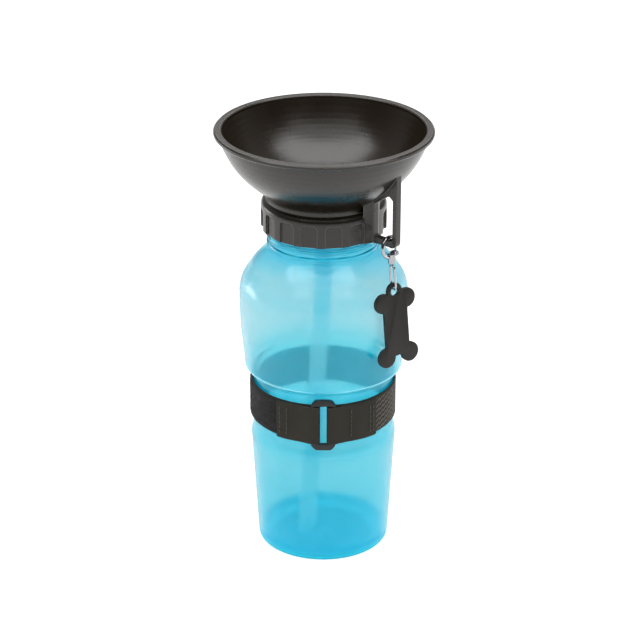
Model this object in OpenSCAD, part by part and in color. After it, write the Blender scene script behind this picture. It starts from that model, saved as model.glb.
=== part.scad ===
// Dog travel water bottle: a squeeze bottle with a screw-on drinking bowl, a dip tube,
// a hand strap round the waist, and a bone tag that hangs from the bowl on a snap clip.
// Millimetres. +Z is up, the origin is the centre of the base, and the buckle faces -Y.

/* [Bottle] */
// Radius of the base above its edge round
base_r = 31.5; // [29:0.1:34]
// Round of the base edge
base_round = 2.4; // [1:0.1:4]
// Width of the flat ring that the bottle stands on
foot_w = 6; // [3:0.1:10]
// Height of the hollow under the base
base_hollow = 1.6; // [0.8:0.1:3]
// Radius at the top of the tapered lower body
lower_r = 34.7; // [33.5:0.1:36]
// Height of the tapered lower body
lower_h = 55.5; // [40:0.5:70]
// Height of the round from the lower body in to the waist
lower_round_h = 8.5; // [5:0.1:12]
// Radius of the waist
waist_r = 33.4; // [31:0.1:34]
// Height of the straight waist
waist_h = 24.8; // [23:0.1:34]
// Height of the flare from the waist out to the bulge
flare_h = 3.4; // [2:0.1:5]
// Radius at the foot of the bulge
bulge_foot_r = 37.2; // [35:0.1:38.5]
// Largest radius of the bulge
bulge_r = 40; // [38.6:0.1:41]
// Height from the foot of the bulge to its widest point
bulge_h = 35.3; // [28:0.1:42]
// Height of the round shoulder
shoulder_h = 15.1; // [12:0.1:20]
// Radius where the round shoulder passes into the slope
slope_r = 34.8; // [32:0.1:36]
// Height of the slope up to the neck
slope_h = 10.2; // [8:0.1:14]
// Wall of the bottle
wall = 1.5; // [1:0.1:2]

/* [Neck] */
// Radius of the neck between its beads
neck_r = 25.9; // [25.4:0.1:26.6]
// How far the neck beads stand out
bead_out = 1; // [0.6:0.1:1.4]
// Height of one neck bead
bead_h = 2.2; // [1.6:0.1:2.8]
// Pitch of the neck beads
bead_pitch = 3.5; // [3.2:0.1:4]
// Number of neck beads
bead_count = 2; // [1:1:2]
// Height of the threaded part of the neck
mouth_h = 15; // [14.6:0.1:17]
// Radius at the root of the neck thread
mouth_r = 24.7; // [24.2:0.1:25]
// Wall of the mouth
mouth_wall = 1.9; // [1.4:0.1:2.4]

/* [Thread] */
// Pitch of the screw thread
pitch = 4; // [3.6:0.1:4.4]
// Turns of thread on the neck, and on the cap
thread_turns = 1.5; // [1:0.25:1.75]
// Height of a thread rib at its root
rib_h = 1.5; // [1.2:0.1:1.6]
// How far a rib stands out
rib_out = 1.2; // [0.9:0.1:1.3]
// Height of the lowest thread above the bottom of the mouth
rib_start = 5.6; // [5:0.1:6.5]

/* [Cap and bowl] */
// Outside radius of the screw collar
collar_r = 29.4; // [28.8:0.1:31]
// Height of the screw collar
collar_h = 14.9; // [14:0.1:16]
// Height of the collar's rounded shoulder
shoulder_drop = 3.4; // [2.5:0.1:4.5]
// How far the shoulder draws in up to the bowl
shoulder_in = 2.2; // [1.5:0.1:2.4]
// Radial gap between the neck thread and the bore of the collar
collar_gap = 0.5; // [0.3:0.1:0.6]
// Number of grip notches
grip_count = 16; // [8:1:18]
// Width of a grip notch
grip_w = 7.6; // [5:0.1:8]
// Depth of a grip notch
grip_deep = 1.2; // [0.4:0.1:1.4]
// Plain height of the collar above the notches
grip_above = 4.2; // [3.6:0.1:6]
// Thickness of the bowl floor over the mouth
floor_t = 2.6; // [2:0.1:3.5]
// Height of the bowl above the collar
bowl_h = 33.5; // [29:0.1:38]
// Outside radius of the bowl under its rim
bowl_r = 49; // [46:0.1:51]
// Wall of the bowl
bowl_wall = 2; // [1.6:0.1:2.6]
// Radius of the flat floor inside the bowl
dish_r = 13; // [11:0.1:14]
// Outside radius of the rim
rim_r = 51; // [51:0.1:54]
// Thickness of the rim
rim_t = 2.3; // [1.6:0.1:3]
// Radius of the raised outlet in the bowl floor
outlet_r = 7; // [5.5:0.1:10]
// Height of the raised outlet
outlet_h = 2.2; // [1:0.1:4]

/* [Tube] */
// Outside radius of the dip tube
tube_r = 4.5; // [4:0.1:5.5]
// Wall of the dip tube
tube_wall = 1; // [0.8:0.1:1.3]
// Length of the nipple that the tube is pushed on
nipple_l = 12; // [8:0.5:18]
// Wall of the nipple
nipple_wall = 1; // [0.8:0.1:1.4]
// Straight length at the top of the tube
tube_straight = 30; // [20:1:50]
// Radius of the tube's slight bend
tube_bend_r = 260; // [150:10:400]
// Angle that the lower tube leans
tube_lean = 4.8; // [0.5:0.1:5.5]
// Direction that the tube leans to, from the buckle towards +X
tube_az = -45; // [-180:5:180]
// Height of the tube's tip above the bottle floor
tube_tip_gap = 1.5; // [0.5:0.1:6]
// Slant of the cut at the tube's tip
tip_slant = 38; // [10:1:45]
// Thickness of the neck gasket
gasket_t = 1.6; // [1:0.1:2.4]

/* [Loop] */
// Direction of the hanging loop, from the buckle towards +X
loop_az = 50; // [20:1:160]
// Thickness of the loop's plate
loop_t = 3; // [2.4:0.1:3.4]
// Outer radius of the loop
loop_r = 44.4; // [43:0.1:46]
// Width of the loop's outer bar
loop_bar = 2.4; // [1.8:0.1:3]
// Width of the loop beside the collar
loop_root = 2; // [1.5:0.1:3]
// Half width of the loop's foot where it spreads over the collar
loop_spread = 6; // [4:0.1:6.5]
// Height of the loop's bottom bar
loop_bar_h = 3.5; // [3:0.1:4]
// Thickness left between the slot and the bowl
slot_roof = 3.6; // [2.5:0.1:5]

/* [Strap] */
// Width of the webbing
strap_w = 19.1; // [15:0.1:21]
// Thickness of the webbing
strap_t = 1.1; // [0.9:0.1:1.4]
// Gap between the strap and the waist
strap_gap = 0.3; // [0.3:0.05:0.5]
// Thickness of the hook patch and of the loop patch
patch_t = 0.4; // [0.3:0.05:0.6]
// Direction of the strap's tail end, from the buckle towards +X
tail_az = -37; // [-60:1:-30]
// Direction of the end of the sewn fold
fold_az = 43; // [30:1:60]
// Direction of the far end of the loop patch
patch_az = -125; // [-160:1:-80]

/* [Buckle] */
// Width of the buckle ring
buckle_w = 11.7; // [11:0.1:14]
// Height of the buckle ring beyond each strap edge
buckle_over = 3.4; // [2.4:0.1:3.6]
// Thickness of the buckle ring
buckle_t = 2.2; // [1.6:0.1:2.6]
// Free gap between the two strap folds
window_gap = 3.1; // [2:0.1:3.4]

/* [Clip and tag] */
// Distance of the clip from the outer end of the loop's slot
clip_in = 2.1; // [1.6:0.1:2.6]
// Distance of the middle of the tag from the bulge
tag_stand = 4; // [3.9:0.1:7]
// Radius of the clip's wire
wire_r = 0.8; // [0.6:0.05:0.9]
// Radius of the hook, at the middle of its wire
hook_r = 4.9; // [4.8:0.1:5.6]
// Angle that the gate leans, at rest
gate_lean = 8; // [4:0.5:10]
// Length of the swivel eye, from the barrel to the lowest wire
eye_l = 12.9; // [9:0.1:18]
// Half width of the swivel eye, at the middle of its wire
eye_r = 1.8; // [1.75:0.05:2.2]
// Radius of the eye's wire
eye_wire_r = 0.55; // [0.45:0.05:0.6]
// Thickness of the bone tag
tag_t = 2; // [1.6:0.1:2.2]
// Distance between the knobs across the bone
tag_dx = 13.1; // [12:0.1:15]
// Distance between the knobs along the bone
tag_dz = 26.8; // [24:0.1:30]
// Radius of a knob
knob_r = 4.7; // [4.2:0.1:5.2]
// Width of the bone's shaft
shaft_w = 13.1; // [9:0.1:14]
// Radius of the tag's hole
tag_hole_r = 2.2; // [2:0.05:2.4]
// Direction that the tag faces, from the buckle towards +X
tag_az = 35; // [34:1:60]

/* [Hidden] */
$fn = 96;
eps = 0.01;

// Heights that stack up from the base
z_lower = lower_h;
z_waist0 = z_lower + lower_round_h;
z_waist1 = z_waist0 + waist_h;
z_foot = z_waist1 + flare_h;
z_bulge = z_foot + bulge_h;
z_slope = z_bulge + shoulder_h;
z_neck = z_slope + slope_h;
bead_plain = 1;
z_mouth = z_neck + bead_plain + bead_count * bead_pitch;
z_lip = z_mouth + mouth_h;
z_roof = z_lip + gasket_t;
collar_under = 0.6;
z_collar1 = z_roof - collar_under;
z_collar0 = z_collar1 - collar_h;
z_floor = z_roof + floor_t;
z_rim = z_collar1 + bowl_h;
z_strap = (z_waist0 + z_waist1) / 2 - 0.6;

// Radii of the screw joint
bore_r = mouth_r + rib_out + collar_gap;
mouth_in = mouth_r - mouth_wall;

// Curves
function mix(a, b, t) = a + (b - a) * t;
function bez(a, b, c, d, t) =
    pow(1 - t, 3) * a + 3 * pow(1 - t, 2) * t * b + 3 * (1 - t) * t * t * c + t * t * t * d;
function curve(a, b, c, d, n) = [for (i = [0:n]) bez(a, b, c, d, i / n)];
function unit(v) = v / norm(v);
function left_of(v) = [-v.y, v.x];
function polar(r, a) = [r * cos(a), r * sin(a)];

// A closed outline with each corner rounded to radius r, by n + 1 points
function rounded(p, r, n = 6) = [
    for (i = [0:len(p) - 1])
        let (
            q = p[i],
            a = unit(p[(i + len(p) - 1) % len(p)] - q),
            b = unit(p[(i + 1) % len(p)] - q),
            half = acos(a * b) / 2,
            k = r / tan(half)
        )
        for (t = [0:n])
            let (
                c = q + unit(a + b) * r / sin(half),
                from = q + a * k - c,
                to = q + b * k - c,
                u = t / n,
                m = 180 - 2 * half
            )
            c + (sin(m * (1 - u)) * from + sin(m * u) * to) / sin(m)
];

// Turns +X to a direction, measured from the buckle towards +X
module facing(az) {
    rotate([0, 0, az - 90]) children();
}

// Flat sector of a ring, from direction a to direction b
module sector(r0, r1, a, b) {
    steps = ceil((b - a) / 30);
    far = 1.3 * r1;
    rotate(-90) intersection() {
        difference() {
            circle(r = r1);
            circle(r = r0);
        }
        polygon(concat([[0, 0]], [for (i = [0:steps]) polar(far, mix(a, b, i / steps))]));
    }
}

// Bottle ------------------------------------------------------------------

// Outer wall, from the edge round up to the start of the neck
wall_line = concat(
    [[base_r, base_round]],
    curve(
        [lower_r, z_lower], [lower_r, z_lower + 0.45 * lower_round_h],
        [waist_r, z_waist0 - 0.5 * lower_round_h], [waist_r, z_waist0], 8
    ),
    curve(
        [waist_r, z_waist1], [waist_r, z_waist1 + 0.8 * flare_h],
        [bulge_foot_r - 0.9, z_foot - 0.5 * flare_h], [bulge_foot_r, z_foot], 8
    ),
    curve(
        [bulge_foot_r + 0.35, z_foot + 0.7], [bulge_foot_r + 1.1, z_foot + 0.3 * bulge_h],
        [bulge_r, z_bulge - 0.45 * bulge_h], [bulge_r, z_bulge], 14
    ),
    curve(
        [bulge_r, z_bulge + 0.5], [bulge_r, z_bulge + 0.55 * shoulder_h],
        [slope_r + 2.9, z_slope - 0.28 * shoulder_h], [slope_r, z_slope], 14
    ),
    curve(
        [slope_r - 0.4, z_slope + 0.6], [slope_r - 3.4, z_slope + 0.5 * slope_h],
        [neck_r + 1.2, z_neck - 0.25 * slope_h], [neck_r, z_neck], 10
    )
);

// One rounded bead on the neck, from height z
function bead(z) = [
    [neck_r, z], [neck_r + 0.8 * bead_out, z + 0.2 * bead_h],
    [neck_r + bead_out, z + 0.5 * bead_h], [neck_r + 0.8 * bead_out, z + 0.8 * bead_h],
    [neck_r, z + bead_h]
];

module bottle_shell() {
    round_c = [base_r - base_round, base_round];
    hollow_r = base_r - base_round - foot_w;
    floor_z = base_hollow + wall;
    under = [[0, base_hollow], [0.7 * hollow_r, 0.9 * base_hollow], [hollow_r, 0]];
    edge = [for (i = [0:6]) round_c + polar(base_round, -90 + 15 * i)];
    beads = [for (i = [0:bead_count - 1]) each bead(z_neck + bead_plain + i * bead_pitch)];
    lip = 0.5;
    mouth = [
        [neck_r, z_mouth - 0.4], [mouth_r, z_mouth + 0.6],
        [mouth_r, z_lip - lip], [mouth_r - lip, z_lip],
        [mouth_in + lip, z_lip], [mouth_in, z_lip - lip],
        [mouth_in, z_mouth - 1], [neck_r - wall, z_mouth - 3]
    ];
    last = len(wall_line) - 1;
    inner = [for (i = [last:-1:1]) wall_line[i] - [wall, 0]];
    inside_floor = [
        [base_r - wall, base_round + wall], [base_r - wall - 1.2, wall + 0.9],
        [hollow_r, wall], [0.7 * hollow_r, wall + 0.9 * base_hollow], [0, floor_z]
    ];
    rotate_extrude()
        polygon(concat(under, edge, wall_line, beads, mouth, inner, inside_floor));
}

// A helical rib with tapered ends. out is +1 for a rib that stands outwards from
// radius r, and -1 for one that stands inwards.
module rib(r, out) {
    seg = 24;
    n = round(seg * thread_turns);
    sunk = 0.4;
    tip = 0.55;
    rings = [
        for (i = [0:n])
            let (
                a = 360 * i / seg,
                grow = min(1, i / 3, (n - i) / 3),
                stand = rib_out * (0.06 + 0.94 * grow),
                z = pitch * i / seg,
                r0 = r - out * sunk,
                r1 = r + out * stand,
                h0 = rib_h / 2,
                h1 = tip * rib_h / 2
            )
            [
                [r0 * cos(a), r0 * sin(a), z - h0],
                [r1 * cos(a), r1 * sin(a), z - h1],
                [r1 * cos(a), r1 * sin(a), z + h1],
                [r0 * cos(a), r0 * sin(a), z + h0]
            ]
    ];
    sides = [
        for (i = [0:n - 1], k = [0:3])
            let (a = 4 * i + k, b = 4 * i + (k + 1) % 4)
            [a, b, b + 4, a + 4]
    ];
    ends = [[3, 2, 1, 0], [4 * n, 4 * n + 1, 4 * n + 2, 4 * n + 3]];
    faces = concat(sides, ends);
    polyhedron(
        points = [for (ring = rings) each ring],
        faces = out > 0 ? faces : [for (f = faces) [for (i = [len(f) - 1:-1:0]) f[i]]],
        convexity = 6
    );
}

module bottle() {
    color([0.39, 0.8, 0.87, 0.6]) {
        bottle_shell();
        translate([0, 0, z_mouth + rib_start]) rib(mouth_r, 1);
    }
}

// Cap, bowl and loop --------------------------------------------------------

// Outside of the bowl as a curve from t = 0 at the collar to t = 1 under the rim
bowl_a = [collar_r - shoulder_in, z_collar1];
bowl_b = bowl_a + [0, 0.205 * bowl_h];
bowl_c = bowl_a + [0.65 * (bowl_r - bowl_a.x), 0.222 * bowl_h];
bowl_d = [bowl_r, z_rim - rim_t];
bowl_n = 20;
dish_t = 0.5;
function bowl_out(t) = bez(bowl_a, bowl_b, bowl_c, bowl_d, t);
function bowl_dir(t) =
    let (s = 0.01, t0 = max(0, t - s), t1 = min(1, t + s))
    unit(bowl_out(t1) - bowl_out(t0));
function bowl_in(t, w) = bowl_out(t) + w * left_of(bowl_dir(t));

nipple_r = tube_r - tube_wall;
outlet_hole_r = nipple_r - nipple_wall;

module bowl_shell() {
    edge = 0.6;
    outside = [for (i = [0:bowl_n]) bowl_out(i / bowl_n)];
    // The inside follows the outside down to dish_t, then sweeps in to the flat floor
    dish_n = round(bowl_n * dish_t);
    dish_a = bowl_in(dish_n / bowl_n, bowl_wall);
    dish_d = [dish_r, z_floor];
    dish_reach = 0.5 * (dish_a.x - dish_r);
    inside = concat(
        [for (i = [bowl_n:-1:dish_n + 1]) bowl_in(i / bowl_n, bowl_wall)],
        curve(
            dish_a, dish_a - dish_reach * bowl_dir(dish_n / bowl_n),
            dish_d + [dish_reach, 0], dish_d, 12
        )
    );
    band = 3.3;
    rotate_extrude()
        polygon(concat(
            [[bore_r, z_collar0], [collar_r - edge, z_collar0], [collar_r, z_collar0 + edge]],
            curve(
                [collar_r, z_collar1 - shoulder_drop], [collar_r, z_collar1 - 0.5 * shoulder_drop],
                bowl_a + [0.55 * shoulder_in, -0.2 * shoulder_drop], bowl_a, 6
            ),
            [for (i = [1:bowl_n]) outside[i]],
            [
                [rim_r - 0.5, z_rim - rim_t], [rim_r, z_rim - rim_t + 0.5],
                [rim_r, z_rim - 0.8], [rim_r - 0.8, z_rim],
                [rim_r - band, z_rim], [rim_r - band - 0.5, z_rim - 0.5]
            ],
            inside,
            [
                [outlet_r + 1, z_floor], [outlet_r, z_floor + outlet_h - 0.6],
                [outlet_r - 0.8, z_floor + outlet_h],
                [outlet_hole_r + 0.8, z_floor + outlet_h],
                [outlet_hole_r, z_floor + outlet_h - 0.8],
                [outlet_hole_r, z_roof - nipple_l],
                [nipple_r - 0.3, z_roof - nipple_l], [nipple_r, z_roof - nipple_l + 0.8],
                [nipple_r, z_roof], [bore_r, z_roof]
            ]
        ));
}

module grip_notches() {
    top = z_collar1 - grip_above;
    half = grip_w / 2;
    first_az = 8.9;
    cut_out = 2;
    corner = 1.8;
    low = z_collar0 - corner - 1;
    // No notch lies under the loop's foot
    plain = asin((loop_spread + half) / collar_r) - 4;
    for (i = [0:grip_count - 1])
        let (az = first_az + 360 * i / grip_count)
            if (abs(az - loop_az) > plain)
                facing(az)
                    translate([collar_r - grip_deep, 0, 0])
                        rotate([90, 0, 90])
                            linear_extrude(height = grip_deep + cut_out)
                                polygon(rounded([
                                    [-half, low], [half, low], [half, top], [-half, top]
                                ], corner, 4));
}

// Places +X outwards along the loop's plate, +Y across it
module at_loop() {
    facing(loop_az) children();
}

z_bar0 = z_collar0;
z_bar1 = z_bar0 + loop_bar_h;
z_bar = (z_bar0 + z_bar1) / 2;
slot_r0 = collar_r + loop_root;
slot_r1 = loop_r - loop_bar;
// The bottom bar's corners are rounded off to this radius about its middle
bar_r = 0.5 * norm([loop_t, loop_bar_h]) - 0.25;

// Where the bowl's outside reaches radius r
function bowl_t(r, lo = 0, hi = 1, n = 12) =
    n == 0 ? (lo + hi) / 2
    : bowl_out((lo + hi) / 2).x < r ? bowl_t(r, (lo + hi) / 2, hi, n - 1)
    : bowl_t(r, lo, (lo + hi) / 2, n - 1);
function bowl_z(r) = bowl_out(bowl_t(r)).y;

module loop_plate() {
    sunk = 0.8;
    top_t = bowl_t(loop_r);
    corner = 3;
    outline = concat(
        [[collar_r - sunk, z_bar0]],
        [for (i = [0:4]) [loop_r - corner, z_bar0 + corner] + polar(corner, -90 + 22.5 * i)],
        [[loop_r, bowl_z(loop_r)]],
        [for (i = [10:-1:1]) bowl_in(top_t * i / 10, sunk)],
        [[bowl_a.x, z_collar1 - 0.5 * shoulder_drop], [collar_r - sunk, z_collar1 - shoulder_drop]]
    );
    apex_r = slot_r1 - 2.3;
    slot = rounded([
        [slot_r0, z_bar1], [slot_r1, z_bar1],
        [slot_r1, bowl_z(apex_r) - slot_roof - 1.8], [apex_r, bowl_z(apex_r) - slot_roof],
        [slot_r0, bowl_z(slot_r0) + 2 - slot_roof]
    ], 0.9, 4);
    at_loop()
        rotate([90, 0, 0])
            translate([0, 0, -loop_t / 2])
                linear_extrude(height = loop_t)
                    difference() {
                        polygon(outline);
                        polygon(slot);
                    }
}

// The loop's foot, spread over the collar by a hollow curve on each side
module loop_foot() {
    sunk = 1.4;
    root_x = sqrt(pow(collar_r, 2) - pow(loop_spread, 2)) - 0.3;
    side = curve(
        [root_x, loop_spread], [collar_r + 0.1 * loop_root, 0.6 * loop_spread],
        [collar_r + 0.5 * loop_root, loop_t / 2 + 0.3], [slot_r0 - 0.4, loop_t / 2 - 0.1], 8
    );
    at_loop()
        translate([0, 0, z_bar0])
            linear_extrude(height = bowl_z(slot_r0) - 0.6 - z_bar0)
                polygon(concat(
                    [[collar_r - sunk, -loop_spread + 1], [collar_r - sunk, loop_spread - 1]],
                    side,
                    [for (i = [8:-1:0]) [side[i].x, -side[i].y]]
                ));
}

// Rounds the long edges of the loop's bottom bar
module bar_rounding() {
    keep = 1.4;
    length = slot_r1 - slot_r0 - 2 * keep;
    at_loop()
        translate([slot_r0 + keep, 0, z_bar])
            rotate([0, 90, 0])
                difference() {
                    translate([-loop_bar_h / 2 - 1, -loop_t / 2 - 1, 0])
                        cube([loop_bar_h + 2, loop_t + 2, length]);
                    translate([0, 0, -1]) cylinder(r = bar_r, h = length + 2, $fn = 48);
                }
}

// The cap's rib lies under the neck's rib, by half a pitch
module bowl_cap() {
    color([0.24, 0.22, 0.21]) {
        difference() {
            union() {
                bowl_shell();
                loop_plate();
                loop_foot();
            }
            grip_notches();
            bar_rounding();
        }
        translate([0, 0, z_mouth + rib_start - pitch / 2]) rib(bore_r, -1);
    }
}

module neck_gasket() {
    color([0.85, 0.85, 0.83])
        translate([0, 0, z_lip])
            difference() {
                cylinder(r = bore_r - 0.4, h = gasket_t);
                translate([0, 0, -1]) cylinder(r = mouth_in + 0.3, h = gasket_t + 2);
            }
}

// Dip tube: straight down off the nipple, a slight bend, then straight to a slanted tip.
// It is swept through rings of points, each a centre, an angle of lean and a slant.
tube_low = base_hollow + wall + tube_tip_gap;
bend_z = z_roof - tube_straight;
bend_end = [tube_bend_r * (1 - cos(tube_lean)), bend_z - tube_bend_r * sin(tube_lean)];
tube_run = (bend_end.y - tube_low) / cos(tube_lean) - tube_r * tan(tip_slant);
bend_steps = 5;
tube_rings = concat(
    [[[0, z_roof], 0, 0]],
    [
        for (i = [0:bend_steps])
            let (a = tube_lean * i / bend_steps)
            [[tube_bend_r * (1 - cos(a)), bend_z - tube_bend_r * sin(a)], a, 0]
    ],
    [[bend_end + tube_run * [sin(tube_lean), -cos(tube_lean)], tube_lean, tip_slant]]
);
tube_sides = 24;

// Points of one ring at radius r, round the centre, in the leaning plane
function ring_points(ring, r) = [
    for (k = [0:tube_sides - 1])
        let (
            f = 360 * k / tube_sides,
            across = r * cos(f),
            down = across * tan(ring[2])
        )
        [
            ring[0].x + across * cos(ring[1]) + down * sin(ring[1]),
            r * sin(f),
            ring[0].y + across * sin(ring[1]) - down * cos(ring[1])
        ]
];

module dip_tube() {
    n = len(tube_rings);
    sides = tube_sides;
    // The flats of the many-sided bore just touch the round nipple
    bore = nipple_r / cos(180 / sides);
    outer = [for (ring = tube_rings) each ring_points(ring, tube_r)];
    inner = [for (ring = tube_rings) each ring_points(ring, bore)];
    first_in = n * sides;
    skins = [
        for (i = [0:n - 2], k = [0:sides - 1])
            let (a = i * sides + k, b = i * sides + (k + 1) % sides)
            each [
                [a, b, b + sides, a + sides],
                [first_in + a, first_in + a + sides, first_in + b + sides, first_in + b]
            ]
    ];
    ends = [
        for (k = [0:sides - 1])
            let (b = (k + 1) % sides, low = (n - 1) * sides)
            each [
                [k, first_in + k, first_in + b, b],
                [low + k, low + b, first_in + low + b, first_in + low + k]
            ]
    ];
    color([0.75, 0.93, 0.96, 0.6])
        facing(tube_az)
            polyhedron(points = concat(outer, inner), faces = concat(skins, ends), convexity = 4);
}

// Strap ---------------------------------------------------------------------

strap_r0 = waist_r + strap_gap;
strap_r1 = strap_r0 + strap_t;
patch_r = strap_r1 + patch_t;
top_r0 = patch_r + patch_t;
top_r1 = top_r0 + strap_t;
// The buckle is a flat ring whose back lies on the webbing's base layer
buckle_y = strap_r1 + 0.1;
fit = 0.05;
fold_x0 = window_gap / 2;
fold_x1 = fold_x0 + strap_t;
bar_x0 = fold_x1 + fit;
bar_x1 = buckle_w / 2;
front_y0 = buckle_y + buckle_t + fit;
front_y1 = front_y0 + strap_t;
// Direction where the front of each fold has come down to the top layer
land_az = 17;

// A point at radius r in a direction measured from the buckle, seen from above
function plan(r, az) = [r * sin(az), -r * cos(az)];

// One fold of webbing round a buckle bar, on the +X side, then back on itself to az_end
module strap_fold(az_end) {
    crease = 0.6;
    ease = 0.4;
    lap = 0.3 * strap_t;
    foot_y = strap_r0 + lap;
    polygon([
        [fold_x0, -foot_y], [fold_x0, crease - front_y1],
        [fold_x0 + crease / 3, crease / 3 - front_y1], [fold_x0 + crease, -front_y1],
        [bar_x1 - ease, -front_y1], plan(top_r1, land_az),
        plan(top_r1 - lap, land_az + 1), plan(top_r0 + lap, land_az + 1),
        plan(top_r0, land_az), [bar_x1 + ease, -front_y0],
        [fold_x1, -front_y0], [fold_x1, -foot_y]
    ]);
    sector(top_r0, top_r1, land_az, az_end);
}

module strap_webbing() {
    open_az = asin((fold_x0 + 0.5 * strap_t) / strap_r0);
    color([0.23, 0.22, 0.2])
        translate([0, 0, z_strap - strap_w / 2])
            linear_extrude(height = strap_w)
                union() {
                    sector(strap_r0, strap_r1, open_az, 360 - open_az);
                    strap_fold(fold_az);
                    mirror([1, 0]) strap_fold(-tail_az);
                }
}

patch_w = strap_w - 1.6;
// Direction where both patches stop, short of the buckle
patch_end_az = -land_az - 3;

module strap_loop_patch() {
    color([0.16, 0.16, 0.15])
        translate([0, 0, z_strap - patch_w / 2])
            linear_extrude(height = patch_w)
                sector(strap_r1, patch_r, patch_az, patch_end_az);
}

module strap_hook_patch() {
    color([0.3, 0.3, 0.28])
        translate([0, 0, z_strap - patch_w / 2])
            linear_extrude(height = patch_w)
                sector(patch_r, top_r0, tail_az + 1, patch_end_az);
}

stitch_l = 1.7;
stitch_pitch = 2.4;
stitch_r = 0.3;
stitch_edge = 1.5;

// One stitch that runs up the strap, half sunk in the top layer's face
module stitch_up(az, z) {
    facing(az)
        translate([top_r1 + 0.05, 0, z - stitch_l / 2])
            cylinder(r = stitch_r, h = stitch_l, $fn = 16);
}

// Rows of stitches that run up the strap, at each direction in rows
module stitch_rows(rows) {
    n = floor((strap_w - 2 * stitch_edge) / stitch_pitch);
    for (az = rows, i = [0:n - 1])
        stitch_up(az, z_strap + (i - (n - 1) / 2) * stitch_pitch);
}

module fold_stitching() {
    color([0.12, 0.12, 0.11]) stitch_rows([land_az + 4, fold_az - 6, fold_az - 3]);
}

module tail_stitching() {
    color([0.12, 0.12, 0.11]) stitch_rows([tail_az + 3, tail_az + 9]);
}

// The bars' ends stand out past the strap as two rounded ears
module buckle_ring() {
    h = strap_w + 2 * buckle_over;
    flat = 0.32 * buckle_w;
    ear = 0.75 * buckle_over;
    corner = 2.3;
    hole_h = strap_w + 0.5;
    corners = [
        [buckle_w / 2, h / 2 - ear], [flat, h / 2],
        [-flat, h / 2], [-buckle_w / 2, h / 2 - ear]
    ];
    color([0.25, 0.26, 0.23])
        translate([0, -buckle_y, z_strap])
            rotate([90, 0, 0])
                linear_extrude(height = buckle_t)
                    difference() {
                        polygon(rounded(concat(corners, -corners), corner, 4));
                        translate([-bar_x0, -hole_h / 2]) square([2 * bar_x0, hole_h]);
                    }
}

// Clip and tag ----------------------------------------------------------------

clip_r = slot_r1 - clip_in;
// The clip and tag lean outwards so that the tag clears the bulge
tag_reach = 42;
clip_lean = asin((bulge_r + tag_stand - clip_r) / tag_reach);

// Clip frame: origin on the middle of the loop's bottom bar, +X outwards along the
// bar, +Y across the loop's plate, -Z down the hanging clip
module at_clip() {
    at_loop()
        translate([clip_r, 0, z_bar])
            rotate([0, -clip_lean, 0])
                children();
}

run_gap = 0.06;
hang_gap = 0.3;
// Length of a drill that goes right through the clip
drill_l = 10;
hook_y = -1;
hook_z = bar_r + hang_gap - sqrt(pow(hook_r - wire_r, 2) - hook_y * hook_y);
hook_tip = 20;
hook_end = 282;
hook_low = hook_z - hook_r;
barrel_r = 1.9;
barrel_top = hook_low + wire_r + 0.4;
barrel_h = 4.2;
barrel_low = barrel_top - barrel_h;
head_r = 1.25;
head_h = 1.1;
head_z = barrel_low + 0.9;
ear_r = 1.1;
gate_y = barrel_r + ear_r;
gate_z = hook_low + 1.1;
ear_t = 0.8;
gate_t = 1.1;
rivet_r = 0.45;
gate_l = hook_z + hook_r * sin(hook_tip) - wire_r - 0.9 - gate_z;

module clip_hook() {
    color([0.75, 0.75, 0.76])
        at_clip() {
            translate([0, hook_y, hook_z])
                rotate([90, 0, 90])
                    rotate([0, 0, hook_tip])
                        rotate_extrude(angle = hook_end - hook_tip)
                            translate([hook_r, 0]) circle(r = wire_r, $fn = 24);
            difference() {
                union() {
                    translate([0, 0, barrel_low]) cylinder(r = barrel_r, h = barrel_h, $fn = 40);
                    for (side = [-1, 1])
                        translate([side * (gate_t + ear_t) / 2 + side * run_gap - ear_t / 2, 0, 0]) {
                            translate([0, gate_y, gate_z])
                                rotate([0, 90, 0]) cylinder(r = ear_r, h = ear_t, $fn = 32);
                            translate([0, 0.9, gate_z - ear_r]) cube([ear_t, gate_y - 0.9, 2 * ear_r]);
                        }
                }
                translate([-drill_l / 2, gate_y, gate_z])
                    rotate([0, 90, 0]) cylinder(r = rivet_r, h = drill_l, $fn = 32);
                translate([0, 0, barrel_low - 1])
                    cylinder(r = eye_wire_r + run_gap, h = barrel_h, $fn = 32);
                translate([0, 0, head_z - run_gap])
                    cylinder(r = head_r + run_gap, h = head_h + 2 * run_gap, $fn = 32);
            }
        }
}

module clip_gate() {
    color([0.7, 0.7, 0.71])
        at_clip()
            translate([0, gate_y, gate_z])
                difference() {
                    union() {
                        translate([-gate_t / 2, 0, 0])
                            rotate([0, 90, 0]) cylinder(r = ear_r - 0.1, h = gate_t, $fn = 32);
                        rotate([-gate_lean, 0, 0]) {
                            cylinder(r = gate_t / 2, h = gate_l, $fn = 24);
                            translate([0, 0, gate_l]) sphere(r = gate_t / 2, $fn = 24);
                        }
                    }
                    translate([-drill_l / 2, 0, 0])
                        rotate([0, 90, 0]) cylinder(r = rivet_r + run_gap, h = drill_l, $fn = 32);
                }
}

module gate_rivet() {
    head = 0.35;
    reach = gate_t / 2 + run_gap + ear_t;
    color([0.6, 0.6, 0.6])
        at_clip()
            translate([0, gate_y, gate_z])
                rotate([0, 90, 0])
                    union() {
                        translate([0, 0, -reach - head])
                            cylinder(r = rivet_r, h = 2 * (reach + head), $fn = 32);
                        for (side = [-1, 1])
                            translate([0, 0, side * (reach + head / 2) - head / 2])
                                cylinder(r = rivet_r + 0.35, h = head, $fn = 32);
                    }
}

eye_low = barrel_low - eye_l;
eye_top = barrel_low - 0.5 - eye_wire_r;

// Frame of the swivel eye: +X is the way that the tag faces
module at_eye() {
    at_clip() rotate([0, 0, tag_az - loop_az]) children();
}

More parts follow.
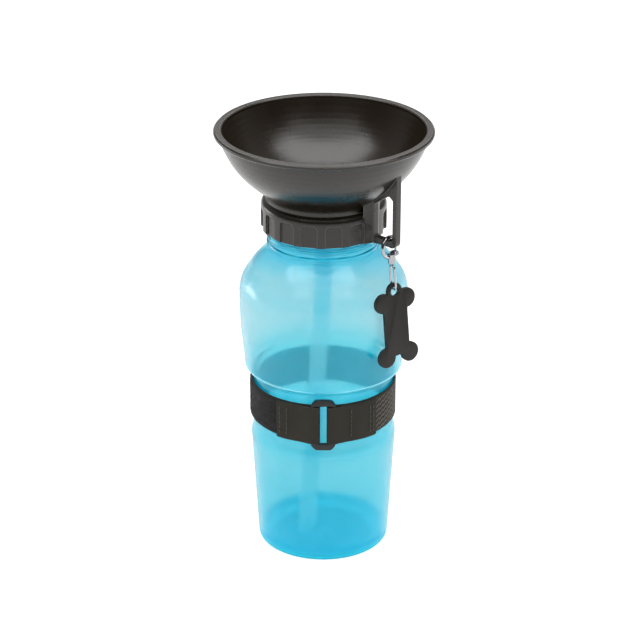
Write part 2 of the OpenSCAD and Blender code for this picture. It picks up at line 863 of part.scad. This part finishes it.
module clip_eye() {
    color([0.75, 0.75, 0.76])
        at_eye() {
            translate([0, 0, eye_top]) cylinder(r = eye_wire_r, h = head_z - eye_top + eps, $fn = 32);
            translate([0, 0, head_z]) cylinder(r = head_r, h = head_h, $fn = 32);
            for (side = [-1, 1])
                translate([side * eye_r, 0, eye_low + eye_r])
                    cylinder(r = eye_wire_r, h = eye_top - eye_low - 2 * eye_r, $fn = 24);
            for (turn = [0, 180])
                translate([0, 0, turn == 0 ? eye_top - eye_r : eye_low + eye_r])
                    rotate([90, 0, 0])
                        rotate([0, 0, turn])
                            rotate_extrude(angle = 180)
                                translate([eye_r, 0]) circle(r = eye_wire_r, $fn = 24);
        }
}

// The tag's hole hangs on the eye's lowest wire
tag_play = 0.75;
tag_drop = tag_hole_r - eye_wire_r - tag_play;
eyelet_w = 1.9;
eyelet_up = 4.7;
eyelet_neck_w = 4.8;

module bone_tag() {
    hole_z = eye_low - tag_drop;
    mid_z = -eyelet_up - tag_dz / 2;
    color([0.22, 0.21, 0.19])
        at_eye()
            translate([-tag_t / 2, 0, hole_z])
                rotate([90, 0, 90])
                    linear_extrude(height = tag_t)
                        difference() {
                            union() {
                                circle(r = tag_hole_r + eyelet_w, $fn = 48);
                                translate([-shaft_w / 2, mid_z - tag_dz / 2])
                                    square([shaft_w, tag_dz]);
                                translate([-eyelet_neck_w / 2, -eyelet_up])
                                    square([eyelet_neck_w, eyelet_up]);
                                for (sx = [-1, 1], sz = [-1, 1])
                                    translate([sx * tag_dx / 2, mid_z + sz * tag_dz / 2])
                                        circle(r = knob_r, $fn = 48);
                            }
                            circle(r = tag_hole_r, $fn = 48);
                        }
}

bottle();
bowl_cap();
neck_gasket();
dip_tube();
strap_webbing();
strap_loop_patch();
strap_hook_patch();
fold_stitching();
tail_stitching();
buckle_ring();
clip_hook();
clip_gate();
gate_rivet();
clip_eye();
bone_tag();
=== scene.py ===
"""Looks of the dog travel water bottle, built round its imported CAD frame.

Metres, +Z up, the buckle faces -Y. Lengths on the object are typed in millimetres, times MM.
A direction az is in degrees, measured from the buckle towards +X.
"""

import math
import random

import bmesh
import bpy
from mathutils import Matrix, Vector


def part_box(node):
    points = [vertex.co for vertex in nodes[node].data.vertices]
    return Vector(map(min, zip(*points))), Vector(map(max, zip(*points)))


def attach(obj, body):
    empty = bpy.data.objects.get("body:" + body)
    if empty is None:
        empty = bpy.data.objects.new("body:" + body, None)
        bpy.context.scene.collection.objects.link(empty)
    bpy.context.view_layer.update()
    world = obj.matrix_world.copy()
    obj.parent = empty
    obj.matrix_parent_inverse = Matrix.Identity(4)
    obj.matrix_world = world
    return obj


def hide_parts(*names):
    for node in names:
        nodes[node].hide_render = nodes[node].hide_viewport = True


MM = 0.001
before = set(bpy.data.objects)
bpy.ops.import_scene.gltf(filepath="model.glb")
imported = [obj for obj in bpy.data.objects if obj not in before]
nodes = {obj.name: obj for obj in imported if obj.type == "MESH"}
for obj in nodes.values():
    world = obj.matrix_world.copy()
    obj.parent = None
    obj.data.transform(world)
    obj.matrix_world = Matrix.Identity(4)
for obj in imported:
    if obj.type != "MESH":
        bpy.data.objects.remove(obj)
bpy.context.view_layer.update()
scene = bpy.context.scene


# Camera ----------------------------------------------------------------------

CAMERA_AT = Vector((0, -1.05602, 0.58577))
CAMERA_AIM = Vector((0, 0, 0.11358))
ROLL = math.radians(0.15)
# In millimetres, as on a real camera
LENS = 136.8
SENSOR = 36
# In pixels of the photo: its width, and how far right of its middle the bottle's axis stands
PHOTO_WIDTH = 640
AXIS_RIGHT = 3.6

camera_data = bpy.data.cameras.new("camera")
camera_data.lens = LENS
camera_data.sensor_width = SENSOR
camera_data.shift_x = -(AXIS_RIGHT / PHOTO_WIDTH)
camera = bpy.data.objects.new("camera", camera_data)
camera.location = CAMERA_AT
facing = (CAMERA_AIM - CAMERA_AT).to_track_quat("-Z", "Y").to_matrix()
camera.rotation_euler = (facing @ Matrix.Rotation(ROLL, 3, "Z")).to_euler()
scene.collection.objects.link(camera)
scene.camera = camera
scene.view_settings.view_transform = "Standard"


# Materials ---------------------------------------------------------------------

def srgb(r, g, b):
    """A colour as 8-bit screen values, in Blender's linear values."""
    def linear(c):
        c /= 255
        return c / 12.92 if c <= 0.04045 else ((c + 0.055) / 1.055) ** 2.4
    return (linear(r), linear(g), linear(b), 1)


class Nodes:
    """A node tree's nodes. Each method that makes a node returns its output socket."""

    def __init__(self, tree):
        self.tree = tree

    def put(self, socket, value):
        """Links value to the socket if it is a socket itself, and otherwise sets it there."""
        if isinstance(value, bpy.types.NodeSocket):
            self.tree.links.new(value, socket)
        else:
            socket.default_value = value

    def node(self, kind, out, inputs, **settings):
        node = self.tree.nodes.new("ShaderNode" + kind)
        for name, value in settings.items():
            setattr(node, name, value)
        for key, value in inputs.items():
            self.put(node.inputs[key], value)
        return node.outputs[out]

    def place(self):
        """The point on the surface, in metres."""
        return self.node("TexCoord", "Object", {})

    def attribute(self, name):
        return self.node("Attribute", "Fac", {}, attribute_name=name)

    def noise(self, scale, detail=2.0, stretch=(1, 1, 1)):
        """Noise with about scale patches to the metre, drawn out along an axis by a low stretch."""
        at = self.node("Mapping", 0, {"Vector": self.place(), "Scale": stretch})
        return self.node("TexNoise", "Fac", {"Vector": at, "Scale": scale, "Detail": detail})

    def maths(self, operation, a, b=0.0):
        return self.node("Math", 0, {0: a, 1: b}, operation=operation)

    def between(self, value, low, high, to_low=0.0, to_high=1.0):
        """value from low to high, mapped to to_low to to_high and held there."""
        ends = {"Value": value, "From Min": low, "From Max": high, "To Min": to_low, "To Max": to_high}
        return self.node("MapRange", 0, ends)

    def blend(self, share, a, b):
        """Colour a at share 0 and colour b at share 1."""
        return self.node("Mix", 2, {0: share, 6: a, 7: b}, data_type="RGBA")

    def by_height(self, stops):
        """A colour that runs through stops, each a height in millimetres and a colour."""
        top = stops[-1][0] * MM
        height = self.node("SeparateXYZ", 2, {0: self.place()})
        ramp = self.node("ValToRGB", 0, {0: self.maths("DIVIDE", height, top)})
        elements = ramp.node.color_ramp.elements
        while len(elements) < len(stops):
            elements.new(1.0)
        for element, (z, colour) in zip(elements, stops):
            element.position = z * MM / top
            element.color = (*colour, 1)
        return ramp

    def bump(self, height, distance, normal=None):
        """A normal tilted by height, times distance, on top of normal if there is one."""
        inputs = {"Height": height, "Distance": distance, "Strength": 1.0}
        if normal:
            inputs["Normal"] = normal
        return self.node("Bump", 0, inputs)


class Finish(Nodes):
    """A new material's nodes, round its Principled BSDF."""

    def __init__(self, name):
        self.material = bpy.data.materials.new(name)
        self.material.use_nodes = True
        super().__init__(self.material.node_tree)
        self.shader = self.tree.nodes["Principled BSDF"]

    def surface(self, shader):
        """Makes shader the material's surface, in place of the plain Principled BSDF."""
        self.put(self.tree.nodes["Material Output"].inputs["Surface"], shader)

    def set(self, **values):
        """Sets the Principled BSDF's sockets, spaces written as _, and returns the material."""
        for name, value in values.items():
            self.put(self.shader.inputs[name.replace("_", " ")], value)
        return self.material


def milky_plastic(name, tint, milk, milky, rough, ior, lamp_tint, grain):
    """A wall that lets part of the light by, tinted, and scatters the rest.

    milky is the share of the light that milk, a colour, scatters where a ray enters the wall.
    lamp_tint colours the light that lamps send through, and grain(f) gives the ripple's height.
    """
    f = Finish(name)
    cloud = f.noise(22, 2)
    ripple = f.bump(grain(f), 0.05 * MM)
    f.set(
        Transmission_Weight=1.0,
        IOR=ior,
        Base_Color=f.by_height(tint),
        Roughness=f.between(cloud, 0.3, 0.7, rough, rough + 0.05),
        Normal=ripple,
    )
    darker = (*[0.94 * c for c in milk[:3]], 1)
    colour = f.blend(cloud, milk, darker)
    near = f.node("BsdfDiffuse", 0, {"Color": colour, "Normal": ripple})
    far = f.node("BsdfTranslucent", 0, {"Color": colour, "Normal": ripple})
    scatter = f.node("MixShader", 0, {0: 0.5, 1: near, 2: far})
    entering = f.maths("SUBTRACT", 1.0, f.node("NewGeometry", "Backfacing", {}))
    share = f.maths("MULTIPLY", entering, milky)
    wall = f.node("MixShader", 0, {0: share, 1: f.shader.outputs[0], 2: scatter})
    lamp = f.node("LightPath", "Is Shadow Ray", {})
    let_by = f.node("BsdfTransparent", 0, {"Color": lamp_tint})
    f.surface(f.node("MixShader", 0, {0: lamp, 1: wall, 2: let_by}))
    return f.material


def bottle_plastic():
    """Cyan blow-moulded wall, its tint deep at the thick base and palest round the bulge,
    where the paleness is a painted reflection of the light from above.
    """
    # Tints by height in millimetres; the pale stops round the bulge are painted light, for the
    # overhead glow it faces
    tint = [
        (3.2, (0.0, 0.46, 0.68)), (7, (0.5, 0.83, 0.83)), (50, (0.66, 0.86, 0.83)),
        (68, (0.28, 0.78, 0.84)), (88, (0.28, 0.78, 0.84)), (100, (0.84, 0.91, 0.86)),
        (120, (0.98, 0.93, 0.84)), (144, (0.8, 0.91, 0.9)), (154, (0.2, 0.78, 0.95)),
    ]
    return milky_plastic(
        "bottle_plastic", tint, milk=(0.0, 0.73, 1.0, 1), milky=0.45, rough=0.06, ior=1.45,
        lamp_tint=(0.75, 0.95, 0.98, 1), grain=lambda f: f.noise(60, 1, (1, 1, 0.35)),
    )


def tube_plastic():
    """Milky extruded tube."""
    tint = [(0, (0.86, 0.97, 1.0)), (175, (0.92, 0.97, 1.0))]
    return milky_plastic(
        "tube_plastic", tint, milk=(0.75, 0.97, 1.0, 1), milky=0.4, rough=0.15, ior=1.03,
        lamp_tint=(0.9, 0.97, 1.0, 1), grain=lambda f: f.noise(160, 2, (1, 1, 0.04)),
    )


# Pale colour of sharp edges: partly wear, partly a painted highlight
WEAR_AND_EDGE_HIGHLIGHT = srgb(126, 122, 115)


def dark_plastic(name, low, high, rough, grain, edge=0.3 * MM, gloss=0.45):
    """Moulded plastic with a fine grain, slightly uneven colour and rounded edges,
    painted pale partly as wear and partly as a painted highlight.

    Its colour runs from low to high, grain is the texture's patches to the metre, and edge is
    the radius that sharp edges seem rounded by.
    """
    f = Finish(name)
    cloud = f.noise(45, 3)
    fine = f.noise(grain, 2)
    soft = f.node("Bevel", 0, {"Radius": edge}, samples=6)
    sharp = f.node("NewGeometry", "Normal", {})
    turned = f.node("VectorMath", "Value", {0: soft, 1: sharp}, operation="DOT_PRODUCT")
    # Sharp edges go half way to the pale colour: partly wear, partly a painted highlight
    wear_and_highlight = f.maths("MULTIPLY", f.between(turned, 0.995, 0.9), 0.5)
    colour = f.blend(cloud, srgb(*low), srgb(*high))
    return f.set(
        Specular_IOR_Level=gloss,
        Base_Color=f.blend(wear_and_highlight, colour, WEAR_AND_EDGE_HIGHLIGHT),
        Roughness=f.between(cloud, 0.3, 0.7, rough - 0.05, rough + 0.05),
        Normal=f.bump(fine, 0.03 * MM, soft),
    )


def chrome():
    """Bright plated wire with hairline scratches."""
    f = Finish("clip_metal")
    fine = f.noise(900, 2, (1, 1, 0.15))
    cloud = f.noise(300, 2)
    return f.set(
        Metallic=1.0,
        Base_Color=f.blend(cloud, srgb(150, 150, 154), srgb(190, 190, 192)),
        Roughness=f.between(fine, 0.35, 0.65, 0.05, 0.14),
        Normal=f.bump(fine, 0.01 * MM),
    )


def rubber():
    """Pale matt silicone."""
    f = Finish("gasket_rubber")
    cloud = f.noise(120, 3)
    return f.set(
        Base_Color=f.blend(cloud, srgb(205, 205, 200), srgb(222, 222, 218)),
        Roughness=f.between(cloud, 0.3, 0.7, 0.5, 0.62),
        Normal=f.bump(f.noise(1500, 2), 0.02 * MM),
    )


# The webbing's weave in millimetres: a thread along it and across it, and on its base layer
# slanting ribs, a pitch apart, that swap places from one column along the strap to the next
PICK_PITCH = 0.9
CORD_PITCH = 0.75
RIB_PITCH = 2.5
RIB_SLANT = -0.75
RIB_COLUMN = 2.8


def webbing():
    """Dense dark webbing, with painted highlights on its rib crests.
    Strap is its UV map in millimetres, and rib is 1 where the ribs show.
    """
    f = Finish("webbing")
    uv = f.node("UVMap", 0, {}, uv_map="Strap")
    along = f.node("SeparateXYZ", 0, {0: uv})
    across = f.node("SeparateXYZ", 1, {0: uv})

    def wave(at, pitch, shift=0.0):
        turns = f.maths("MULTIPLY", at, 2 * math.pi / pitch)
        return f.maths("SINE", f.maths("ADD", turns, shift))

    fine = f.maths("MULTIPLY", wave(along, PICK_PITCH), wave(across, CORD_PITCH))
    slant = f.maths("ADD", across, f.maths("MULTIPLY", along, RIB_SLANT))
    odd_column = f.maths("GREATER_THAN", wave(along, 2 * RIB_COLUMN), 0.0)
    swap = f.maths("MULTIPLY", odd_column, math.pi)
    rib = f.maths("MULTIPLY", wave(slant, RIB_PITCH, swap), f.attribute("rib"))
    height = f.maths("ADD", fine, f.maths("MULTIPLY", rib, 2.5))
    cloud = f.noise(90, 3)
    body = f.blend(cloud, srgb(42, 39, 32), srgb(54, 50, 42))
    # The rib crests are painted pale: a painted highlight where the ribs catch the light
    painted_rib_highlight = f.between(rib, 0.3, 0.9, 0.0, 0.6)
    return f.set(
        Specular_IOR_Level=0.25,
        Base_Color=f.blend(painted_rib_highlight, body, srgb(136, 126, 114)),
        Roughness=f.between(fine, -1, 1, 0.75, 0.6),
        Normal=f.bump(height, 0.05 * MM),
    )


def pile(name, low, high, scale):
    """Short fuzzy fibres of a hook or loop patch."""
    f = Finish(name)
    fibre = f.noise(scale, 3)
    return f.set(
        Sheen_Weight=0.1,
        Base_Color=f.blend(fibre, srgb(*low), srgb(*high)),
        Roughness=f.between(fibre, 0.3, 0.7, 0.8, 0.95),
        Normal=f.bump(fibre, 0.25 * MM),
    )


def thread():
    """Twisted sewing thread."""
    f = Finish("thread")
    twist = f.noise(2600, 1, (1, 1, 0.4))
    return f.set(
        Base_Color=f.blend(twist, srgb(44, 42, 40), srgb(86, 82, 76)),
        Roughness=f.between(twist, 0.3, 0.7, 0.5, 0.7),
        Normal=f.bump(twist, 0.06 * MM),
    )


# Meshes --------------------------------------------------------------------------

def give(mesh, material):
    """Makes material the mesh's only one."""
    mesh.materials.clear()
    mesh.materials.append(material)


def piece(name, mesh, body, node, material):
    """A new piece that rides on a body, and stands for a CAD node unless node is None."""
    made = bpy.data.objects.new(name, mesh)
    scene.collection.objects.link(made)
    give(mesh, material)
    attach(made, body)
    if node:
        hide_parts(node)


def mesh_of(name, vertices, faces):
    """A smooth-shaded mesh."""
    mesh = bpy.data.meshes.new(name)
    mesh.from_pydata(vertices, [], faces)
    mesh.validate()
    for polygon in mesh.polygons:
        polygon.use_smooth = True
    return mesh


def plan(radius, az):
    """The point at radius in direction az, seen from above."""
    a = math.radians(az)
    return Vector((radius * math.sin(a), -radius * math.cos(a)))


def softened(node, width):
    """A copy of a CAD node's mesh whose sharp edges are rounded off by width.

    Its flat stretches become single faces first, so that only real edges are rounded.
    """
    mesh = nodes[node].data.copy()
    b = bmesh.new()
    b.from_mesh(mesh)
    bmesh.ops.remove_doubles(b, verts=b.verts, dist=0.001 * MM)
    bmesh.ops.dissolve_limit(b, angle_limit=math.radians(1), verts=b.verts, edges=b.edges)
    sharp = [e for e in b.edges if e.is_manifold and e.calc_face_angle() > math.radians(50)]
    bmesh.ops.bevel(b, geom=sharp, offset=width, segments=3, profile=0.5, affect="EDGES")
    for face in b.faces:
        face.smooth = True
    b.to_mesh(mesh)
    b.free()
    mesh.set_sharp_from_angle(angle=math.radians(40))
    return mesh


def rings(rows, joined=False):
    """Vertices and faces of a tube through rows of points, each row a closed ring.

    Its two ends are capped, or where joined is true, its last row meets its first.
    """
    n = len(rows[0])
    vertices = [p for row in rows for p in row]
    faces = []
    for i in range(len(rows) if joined else len(rows) - 1):
        a, b = i * n, (i + 1) % len(rows) * n
        faces += [(a + k, a + (k + 1) % n, b + (k + 1) % n, b + k) for k in range(n)]
    if not joined:
        faces += [tuple(reversed(range(n))), tuple(range(len(vertices) - n, len(vertices)))]
    return vertices, faces


# Strap ---------------------------------------------------------------------------

strap_low, strap_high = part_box("strap_webbing")
STRAP_T = 1.1 * MM
PATCH_T = 0.4 * MM
STRAP_Z = (strap_low.z + strap_high.z) / 2
STRAP_W = strap_high.z - strap_low.z
PATCH_W = STRAP_W - 1.6 * MM
# Radii of the middle of the webbing's base layer, of its outer face, and of the top layer's middle
BASE_R = strap_high.x - STRAP_T / 2
BASE_FACE = BASE_R + STRAP_T / 2
TOP_R = BASE_R + STRAP_T + 2 * PATCH_T
# The folds round the buckle's bars: the front of each, its inner run, and the radius it bends by
FRONT_Y = strap_low.y + STRAP_T / 2
FOLD_X = 2.1 * MM
BEND_R = 0.72 * MM
# Directions where the folds land on the top layer, where the sewn fold and the tail end, where
# the loop patch starts, and where the base layer starts and ends beside the buckle
LAND_AZ = 17
FOLD_AZ = 43
TAIL_AZ = -37
PATCH_AZ = -125
OPEN_AZ = 7
# Direction where both patches stop, short of the buckle
PATCH_END_AZ = -LAND_AZ - 3
# The edge of the webbing that is rounded off, and the plain border outside its ribs
SELVEDGE = 0.5 * MM
RIB_BORDER = 1.2 * MM


def arc(centre, radius, start, end, steps):
    """Points on a circle seen from above, from angle start to end, counted from +X."""
    angles = [math.radians(start + (end - start) * i / steps) for i in range(steps + 1)]
    return [centre + radius * Vector((math.cos(a), math.sin(a))) for a in angles]


def fold_path(side, end_az):
    """The webbing's middle line from the end of its top layer, over a bar, to the base ring.

    side is 1 on the buckle's +X side and -1 on the other.
    """
    line = [plan(TOP_R, az) for az in range(end_az, LAND_AZ - 1, -1)]
    # Points along the front of the bar, so that the smoothing leaves the fold flat there
    line += [Vector((FOLD_X + out * MM, FRONT_Y)) for out in (3.4, 2.2, 1.4)]
    line += arc(Vector((FOLD_X + BEND_R, FRONT_Y + BEND_R)), BEND_R, 270, 180, 6)
    foot_y = -math.sqrt(BASE_R ** 2 - FOLD_X ** 2)
    line += [Vector((FOLD_X, (FRONT_Y + foot_y) / 2))]
    line += arc(Vector((FOLD_X + BEND_R, foot_y - BEND_R)), BEND_R, 180, 90, 6)
    return [Vector((side * p.x, p.y)) for p in line]


def strap_path():
    """The webbing's middle line: the sewn fold, the base ring, and the fold with the tail."""
    right = fold_path(1, FOLD_AZ)
    left = fold_path(-1, -TAIL_AZ)
    ring = [plan(BASE_R, az) for az in range(OPEN_AZ, 360 - OPEN_AZ + 1)]
    return right + ring + list(reversed(left))


def smoothed(path, rounds):
    """The path with its corners eased: each round draws every point towards its neighbours."""
    for _ in range(rounds):
        middle = [(a + 2 * b + c) / 4 for a, b, c in zip(path, path[1:], path[2:])]
        path = [path[0], *middle, path[-1]]
    return path


def strap_mesh():
    """The webbing as one ribbon, with its selvedges rounded, a UV map and a rib mask."""
    path = smoothed(strap_path(), 2)
    columns = 28
    thinnest = 0.02
    across = [STRAP_W * (k / columns - 0.5) for k in range(columns + 1)]
    along = 0.0
    rows, uvs, ribs = [], [], []
    for i, p in enumerate(path):
        before, after = path[max(i - 1, 0)], path[min(i + 1, len(path) - 1)]
        along += (p - before).length
        heading = (after - before).normalized()
        side = Vector((-heading.y, heading.x))
        on_base = p.length < BASE_R + 0.2 * MM
        row = []
        for sign, zs in ((1, across), (-1, list(reversed(across)))):
            for z in zs:
                out = max(0.0, (abs(z) - (STRAP_W / 2 - SELVEDGE)) / SELVEDGE)
                half = STRAP_T / 2 * math.sqrt(max(thinnest, 1 - out * out))
                q = p + sign * half * side
                row.append((q.x, q.y, STRAP_Z + z))
                uvs.append((along / MM, z / MM))
                ribs.append(float(on_base and abs(z) < STRAP_W / 2 - RIB_BORDER))
        rows.append(row)
    mesh = mesh_of("strap", *rings(rows))
    layer = mesh.uv_layers.new(name="Strap")
    for loop in mesh.loops:
        layer.data[loop.index].uv = uvs[loop.vertex_index]
    mask = mesh.attributes.new("rib", "FLOAT", "POINT")
    mask.data.foreach_set("value", ribs)
    return mesh


def patch_mesh(name, radius, start, end):
    """A curved pad that stands on a cylinder of that radius, with a slightly uneven outer face."""
    rng = random.Random(name)
    uneven = 0.12 * MM
    columns = 24
    rows = []
    for az in range(start, end + 1):
        row = []
        for k in range(columns + 1):
            q = plan(radius + PATCH_T - rng.random() * uneven, az)
            row.append((q.x, q.y, STRAP_Z + PATCH_W * (k / columns - 0.5)))
        q = plan(radius, az)
        row += [(q.x, q.y, STRAP_Z + PATCH_W / 2), (q.x, q.y, STRAP_Z - PATCH_W / 2)]
        rows.append(row)
    return mesh_of(name, *rings(rows))


def loops_mesh(name, radius, start, end):
    """The pile's small loops of fibre, flat half rings that stand on a cylinder of that radius."""
    rng = random.Random(name)
    count, segments = 3500, 4
    thick, reach, tall = 0.05 * MM, 0.25 * MM, 0.35 * MM
    vertices, faces = [], []
    for _ in range(count):
        az = start + (end - start) * rng.random()
        z = STRAP_Z + PATCH_W * (rng.random() - 0.5)
        turn = rng.random() * math.pi
        half = reach * (0.6 + 0.8 * rng.random())
        rise = tall * (0.5 + 0.5 * rng.random())
        out = plan(1, az).to_3d()
        along = Vector((-out.y, out.x, 0)) * math.cos(turn) + Vector((0, 0, math.sin(turn)))
        wide = out.cross(along) * thick
        base = Vector((out.x * radius, out.y * radius, z))
        first = len(vertices)
        for k in range(segments + 1):
            a = math.pi * k / segments
            p = base - along * half * math.cos(a)
            p += out * rise * math.sin(a)
            vertices += [p - wide, p + wide]
        for a in range(first, first + 2 * segments, 2):
            faces.append((a, a + 1, a + 3, a + 2))
    return mesh_of(name, vertices, faces)


def stitches_mesh(name, directions):
    """Rows of stitches up the strap: each is a short arc of thread that dips in at its ends."""
    pitch, length, radius = 2.4 * MM, 1.9 * MM, 0.28 * MM
    crown, dip = 0.12 * MM, 0.45 * MM
    segments, sides = 8, 8
    top_face = TOP_R + STRAP_T / 2
    count = int((STRAP_W - 3 * MM) / pitch)
    vertices, faces = [], []
    for az in directions:
        out = plan(1, az).to_3d()
        side = Vector((-out.y, out.x, 0))
        for i in range(count):
            middle = STRAP_Z + (i - (count - 1) / 2) * pitch
            rows = []
            for k in range(segments + 1):
                t = k / segments
                lift = crown - dip * (2 * t - 1) ** 4
                c = out * (top_face + lift) + Vector((0, 0, middle + (t - 0.5) * length))
                rows.append([
                    tuple(c + radius * (math.cos(a) * out + math.sin(a) * side))
                    for a in [2 * math.pi * j / sides for j in range(sides)]
                ])
            stitch_vertices, stitch_faces = rings(rows)
            first = len(vertices)
            vertices += stitch_vertices
            faces += [tuple(first + j for j in corners) for corners in stitch_faces]
    return mesh_of(name, vertices, faces)


# Dip tube ------------------------------------------------------------------------

# Radii of the tube's outside and bore, and its straight length below the bowl
TUBE_R = 4.5 * MM
TUBE_BORE_R = 3.5 * MM
TUBE_STRAIGHT = 30 * MM
# The bend's radius, and in degrees how far the tube leans below it, towards which side, and
# how steeply its tip is cut
TUBE_BEND_R = 260 * MM
TUBE_LEAN = 4.8
TUBE_AZ = -45
TIP_SLANT = 38


def tube_line(top, bottom, slope):
    """Stations down the tube's middle, in the plane that it bends in: (x, z, lean in radians)."""
    straight_steps, bend_steps, lean_steps = 6, 10, 5
    lean = math.radians(TUBE_LEAN)
    bend_z = top - TUBE_STRAIGHT
    line = [(0.0, top - TUBE_STRAIGHT * i / straight_steps, 0.0) for i in range(straight_steps + 1)]
    for i in range(1, bend_steps + 1):
        a = lean * i / bend_steps
        line.append((TUBE_BEND_R * (1 - math.cos(a)), bend_z - TUBE_BEND_R * math.sin(a), a))
    x, z, _ = line[-1]
    run = (z - bottom) / math.cos(lean) - TUBE_R * slope
    for i in range(1, lean_steps + 1):
        down = run * i / lean_steps
        line.append((x + down * math.sin(lean), z - down * math.cos(lean), lean))
    return line


def tube_mesh():
    """The dip tube: straight, a slight bend, then a leaning length to a slanted tip."""
    low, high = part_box("dip_tube")
    slope = math.tan(math.radians(TIP_SLANT))
    line = tube_line(high.z, low.z, slope)
    out = plan(1, TUBE_AZ)
    sides = 48
    rows = []
    for stations, radius in ((line, TUBE_R), (reversed(line), TUBE_BORE_R)):
        for x, z, lean in stations:
            is_tip = (x, z, lean) == line[-1]
            row = []
            for k in range(sides):
                across = radius * math.cos(2 * math.pi * k / sides)
                aside = radius * math.sin(2 * math.pi * k / sides)
                down = across * slope if is_tip else 0.0
                far = x + across * math.cos(lean) + down * math.sin(lean)
                up = z + across * math.sin(lean) - down * math.cos(lean)
                row.append((out.x * far - out.y * aside, out.y * far + out.x * aside, up))
            rows.append(row)
    mesh = mesh_of("tube", *rings(rows, joined=True))
    mesh.set_sharp_from_angle(angle=math.radians(40))
    return mesh


# Pieces --------------------------------------------------------------------------

metal = chrome()
bowl = dark_plastic("bowl_plastic", (24, 17, 9), (31, 24, 14), 0.26, 2200, 0.7 * MM, 0.56)
give(nodes["bottle"].data, bottle_plastic())
give(nodes["bowl_cap"].data, bowl)
give(nodes["neck_gasket"].data, rubber())
for wire in ("clip_hook", "clip_gate", "gate_rivet", "clip_eye"):
    give(nodes[wire].data, metal)

piece("dip_tube_clear", tube_mesh(), "cap", "dip_tube", tube_plastic())
piece("strap_weave", strap_mesh(), "strap", "strap_webbing", webbing())

loop_pile = pile("loop_pile", (2, 2, 1), (18, 16, 14), 2600)
hook_pile = pile("hook_pile", (40, 38, 35), (84, 80, 74), 3000)
LOOP_FACE = BASE_FACE + PATCH_T
FUZZ_ROOT = LOOP_FACE - 0.1 * MM
loop_pad = patch_mesh("loop_pad", BASE_FACE, PATCH_AZ, PATCH_END_AZ)
piece("loop_patch", loop_pad, "strap", "strap_loop_patch", loop_pile)
hook_pad = patch_mesh("hook_pad", LOOP_FACE, TAIL_AZ + 1, PATCH_END_AZ)
piece("hook_patch", hook_pad, "strap", "strap_hook_patch", hook_pile)
fuzz = loops_mesh("loop_fuzz", FUZZ_ROOT, PATCH_AZ, TAIL_AZ)
piece("loop_fuzz", fuzz, "strap", None, loop_pile)

cotton = thread()
fold_rows = stitches_mesh("fold_rows", (LAND_AZ + 4, FOLD_AZ - 6, FOLD_AZ - 3))
piece("fold_stitches", fold_rows, "strap", "fold_stitching", cotton)
tail_rows = stitches_mesh("tail_rows", (TAIL_AZ + 3, TAIL_AZ + 9))
piece("tail_stitches", tail_rows, "strap", "tail_stitching", cotton)

MOULDED_EDGE = 0.35 * MM
buckle = dark_plastic("buckle_plastic", (10, 14, 12), (19, 24, 21), 0.38, 2600)
buckle_mesh = softened("buckle_ring", MOULDED_EDGE)
piece("buckle", buckle_mesh, "strap", "buckle_ring", buckle)
tag = dark_plastic("tag_plastic", (14, 11, 7), (23, 19, 14), 0.5, 3000)
piece("tag", softened("bone_tag", MOULDED_EDGE), "tag", "bone_tag", tag)


# Stage ---------------------------------------------------------------------------

WHITE = (1, 1, 1, 1)
# In metres: the floor's side, and the middle of the object, where every lamp points
FLOOR_SIZE = 6
LAMP_AIM = Vector((0, 0, 0.1))


def shows_background(f):
    """1 for rays that should see the white backdrop: camera, glossy and transmission."""
    kinds = ("Camera", "Glossy", "Transmission")
    camera_ray, glossy, through = [f.node("LightPath", f"Is {kind} Ray", {}) for kind in kinds]
    return f.maths("MAXIMUM", f.maths("MAXIMUM", camera_ray, glossy), through)


def make_world(light, dark, bright):
    """A white surround that lights the object by light, and a plain white behind it.

    Gloss sees it at the strength dark on the camera's side, running to bright behind the object.
    """
    world = bpy.data.worlds.new("world")
    world.use_nodes = True
    f = Nodes(world.node_tree)
    background = f.tree.nodes["Background"]
    depth = f.node("SeparateXYZ", 1, {0: f.node("TexCoord", "Generated", {})})
    shine = f.between(depth, -0.4, 0.4, dark, bright)
    plain = f.between(shows_background(f), 0.0, 1.0, light, 1.0)
    glossy = f.node("LightPath", "Is Glossy Ray", {})
    f.put(background.inputs["Color"], WHITE)
    f.put(background.inputs["Strength"], f.node("Mix", 0, {0: glossy, 2: plain, 3: shine}))
    scene.world = world


def make_floor(albedo, lift):
    """A pale floor that takes the shadow, and that lift tops up to the backdrop's white."""
    f = Finish("floor")
    f.set(Base_Color=(albedo, albedo, albedo, 1), Roughness=1.0, Specular_IOR_Level=0.0)
    glow = f.maths("MULTIPLY", shows_background(f), lift)
    f.set(Emission_Color=WHITE, Emission_Strength=glow)
    bpy.ops.mesh.primitive_plane_add(size=FLOOR_SIZE)
    floor = bpy.context.object
    floor.name = "floor"
    floor.data.materials.append(f.material)


def make_lamp(name, at, wide, deep, power):
    """A rectangular soft light, its place and size in metres and its power in watts."""
    data = bpy.data.lights.new(name, "AREA")
    data.shape = "RECTANGLE"
    data.size = wide
    data.size_y = deep
    data.energy = power
    lamp = bpy.data.objects.new(name, data)
    lamp.location = at
    lamp.rotation_euler = (LAMP_AIM - Vector(at)).to_track_quat("-Z", "Y").to_euler()
    scene.collection.objects.link(lamp)


make_world(light=0.57, dark=0.05, bright=0.3)
make_floor(albedo=0.5, lift=0.65)
# The broad light in the bowl's bottom, and the fainter one that carries it up the far wall
make_lamp("top", (0, -0.1, 1.15), 1.8, 0.6, 14.2)
make_lamp("fade", (0, -0.55, 0.95), 1.4, 0.35, 2.4)
make_lamp("back", (0, 1.1, 0.95), 1.6, 0.5, 5.0)
# Below the rim, so that they don't reflect in the bowl's inside
make_lamp("left", (-0.95, 0.45, 0.09), 0.45, 0.2, 1.4)
make_lamp("right", (0.95, 0.45, 0.09), 0.45, 0.2, 0.8)
